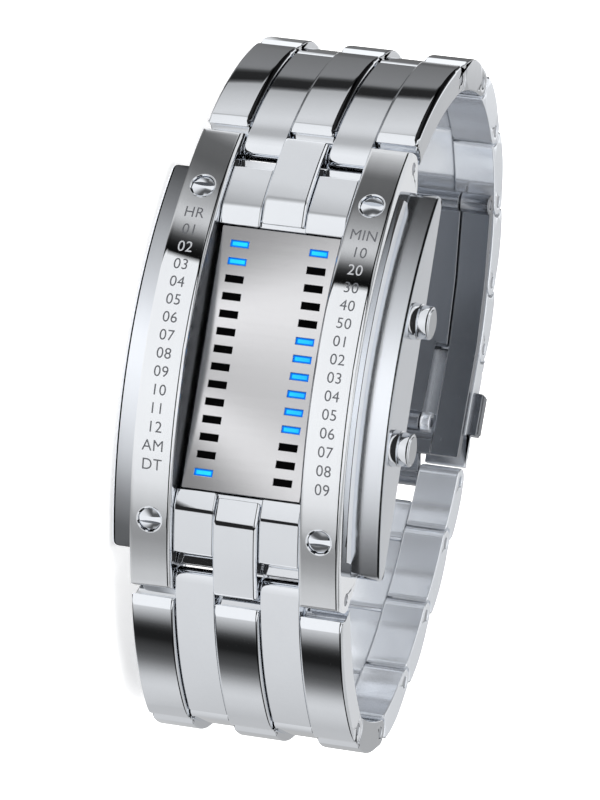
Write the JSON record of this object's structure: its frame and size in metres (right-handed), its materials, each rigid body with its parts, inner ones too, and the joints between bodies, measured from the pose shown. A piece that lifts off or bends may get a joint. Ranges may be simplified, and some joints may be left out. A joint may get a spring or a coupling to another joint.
{
  "type": "led watch",
  "caption": "Steel bracelet watch with two columns of light slots between labelled side rails, flank wings, two pushers and a folding clasp.",
  "frame": {"origin": "on the outer face of the left wing, level with the face of the display, in the middle of the watch's length", "axes": "+X towards 6 o'clock, -Y the way the dial faces, +Z towards 3 o'clock, up, with the watch lying on its left wing"},
  "size_m": [0.0752, 0.0505, 0.0313],
  "materials": {
    "polished_steel": "polished",
    "satin_steel": "satin",
    "brushed_display": "fine brushed across the columns",
    "lit_window": "glowing blue",
    "dark_window": "dark lens",
    "circuit_green": "satin",
    "chip_black": "matte",
    "light_chip": "gloss",
    "cell_steel": "satin",
    "contact_gold": "polished",
    "moulded_black": "matte",
    "seal_rubber": "matte",
    "spring_wire": "drawn",
    "dark_steel": "satin"
  },
  "bodies": {
    "head": {"case_body": "satin_steel", "case_back": "satin_steel", "back_gasket": "seal_rubber", "back_screws": "satin_steel", "left_rail": "polished_steel", "right_rail": "polished_steel", "rail_screws": "polished_steel", "left_wing": "satin_steel", "right_wing": "satin_steel", "upper_end_piece": "polished_steel", "lower_end_piece": "polished_steel", "display_plate": "brushed_display", "lit_windows": "lit_window", "dark_windows": "dark_window", "circuit_board": "circuit_green", "light_chips": "light_chip", "controller_chip": "chip_black", "quartz_can": "cell_steel", "switch_contacts": "contact_gold", "coin_cell": "cell_steel", "cell_clip": "cell_steel", "movement_frame": "moulded_black", "pusher_springs": "spring_wire", "pusher_seals": "seal_rubber", "lug_pins": "satin_steel"},
    "upper_link_1": {"upper_link_1": "polished_steel", "upper_pin_1": "satin_steel"},
    "upper_link_2": {"upper_link_2": "polished_steel", "upper_pin_2": "satin_steel"},
    "upper_link_3": {"upper_link_3": "polished_steel", "upper_pin_3": "satin_steel"},
    "upper_link_4": {"upper_link_4": "polished_steel", "upper_pin_4": "satin_steel"},
    "upper_link_5": {"upper_link_5": "polished_steel", "upper_pin_5": "satin_steel"},
    "upper_link_6": {"upper_link_6": "polished_steel", "upper_pin_6": "satin_steel"},
    "lower_link_1": {"lower_link_1": "polished_steel", "lower_pin_1": "satin_steel"},
    "lower_link_2": {"lower_link_2": "polished_steel", "lower_pin_2": "satin_steel"},
    "lower_link_3": {"lower_link_3": "polished_steel", "lower_pin_3": "satin_steel"},
    "lower_link_4": {"lower_link_4": "polished_steel", "lower_pin_4": "satin_steel"},
    "lower_link_5": {"lower_link_5": "polished_steel", "lower_pin_5": "satin_steel"},
    "lower_link_6": {"lower_link_6": "polished_steel"},
    "clasp_cover": {"clasp_cover": "polished_steel", "button_spring": "spring_wire"},
    "clasp_blade": {"clasp_blade": "dark_steel", "clasp_spring_bar": "satin_steel"},
    "clasp_leaf": {"clasp_leaf": "dark_steel", "clasp_hinge_pin": "satin_steel", "lower_pin_6": "satin_steel"},
    "left_button": {"left_button": "dark_steel"},
    "right_button": {"right_button": "dark_steel"},
    "upper_pusher": {"upper_pusher": "polished_steel"},
    "lower_pusher": {"lower_pusher": "polished_steel"}
  },
  "joints": [
    {"name": "upper_link_1_hinge", "type": "hinge", "parent": "head", "child": "upper_link_1", "pos_m": [-0.0227, 0.0052, 0.0146], "axis": [0, 0, 1], "range_deg": [0, 15]},
    {"name": "upper_link_2_hinge", "type": "hinge", "parent": "upper_link_1", "child": "upper_link_2", "pos_m": [-0.03459, 0.01818, 0.0146], "axis": [0, 0, 1], "range_deg": [0, 34.5]},
    {"name": "upper_link_3_hinge", "type": "hinge", "parent": "upper_link_2", "child": "upper_link_3", "pos_m": [-0.03584, 0.02709, 0.0146], "axis": [0, 0, 1], "range_deg": [0, 33]},
    {"name": "upper_link_4_hinge", "type": "hinge", "parent": "upper_link_3", "child": "upper_link_4", "pos_m": [-0.03204, 0.03525, 0.0146], "axis": [0, 0, 1], "range_deg": [0, 25]},
    {"name": "upper_link_5_hinge", "type": "hinge", "parent": "upper_link_4", "child": "upper_link_5", "pos_m": [-0.02515, 0.04103, 0.0146], "axis": [0, 0, 1], "range_deg": [0, 23]},
    {"name": "upper_link_6_hinge", "type": "hinge", "parent": "upper_link_5", "child": "upper_link_6", "pos_m": [-0.01654, 0.04366, 0.0146], "axis": [0, 0, 1], "range_deg": [0, 10]},
    {"name": "lower_link_1_hinge", "type": "hinge", "parent": "head", "child": "lower_link_1", "pos_m": [0.0227, 0.0052, 0.0146], "axis": [0, 0, -1], "range_deg": [0, 15]},
    {"name": "lower_link_2_hinge", "type": "hinge", "parent": "lower_link_1", "child": "lower_link_2", "pos_m": [0.03525, 0.01754, 0.0146], "axis": [0, 0, -1], "range_deg": [0, 47.5]},
    {"name": "lower_link_3_hinge", "type": "hinge", "parent": "lower_link_2", "child": "lower_link_3", "pos_m": [0.03494, 0.02653, 0.0146], "axis": [0, 0, -1], "range_deg": [0, 40]},
    {"name": "lower_link_4_hinge", "type": "hinge", "parent": "lower_link_3", "child": "lower_link_4", "pos_m": [0.02892, 0.03322, 0.0146], "axis": [0, 0, -1], "range_deg": [0, 17]},
    {"name": "lower_link_5_hinge", "type": "hinge", "parent": "lower_link_4", "child": "lower_link_5", "pos_m": [0.0212, 0.03785, 0.0146], "axis": [0, 0, -1], "range_deg": [0, 9]},
    {"name": "lower_link_6_hinge", "type": "hinge", "parent": "lower_link_5", "child": "lower_link_6", "pos_m": [0.01286, 0.04123, 0.0146], "axis": [0, 0, -1], "range_deg": [0, 5]},
    {"name": "clasp_cover_hinge", "type": "hinge", "parent": "upper_link_6", "child": "clasp_cover", "pos_m": [-0.00919, 0.04456, 0.0146], "axis": [0, 0, 1], "range_deg": [0, 11.5]},
    {"name": "clasp_blade_hinge", "type": "hinge", "parent": "clasp_cover", "child": "clasp_blade", "pos_m": [-0.00002, 0.04099, 0.0146], "axis": [0, 0, 1], "range_deg": [0, 20]},
    {"name": "clasp_leaf_hinge", "type": "hinge", "parent": "clasp_blade", "child": "clasp_leaf", "pos_m": [-0.02431, 0.0383, 0.0146], "axis": [0, 0, -1], "range_deg": [0, 40]},
    {"name": "upper_pusher_press", "type": "slide", "parent": "head", "child": "upper_pusher", "axis": [0, 0, -1], "range_m": [0, 0.0006], "stiffness_N_per_m": 800, "springref_m": -0.0006, "deforming": ["pusher_springs"]},
    {"name": "lower_pusher_press", "type": "slide", "parent": "head", "child": "lower_pusher", "axis": [0, 0, -1], "range_m": [0, 0.0006], "stiffness_N_per_m": 800, "springref_m": -0.0006},
    {"name": "right_button_press", "type": "slide", "parent": "clasp_cover", "child": "right_button", "axis": [0, 0, -1], "range_m": [0, 0.0008], "stiffness_N_per_m": 500, "springref_m": -0.0006},
    {"name": "left_button_press", "type": "slide", "parent": "clasp_cover", "child": "left_button", "axis": [0, 0, 1], "range_m": [0, 0.0008], "stiffness_N_per_m": 500, "springref_m": -0.0006, "deforming": ["button_spring"]}
  ]
}
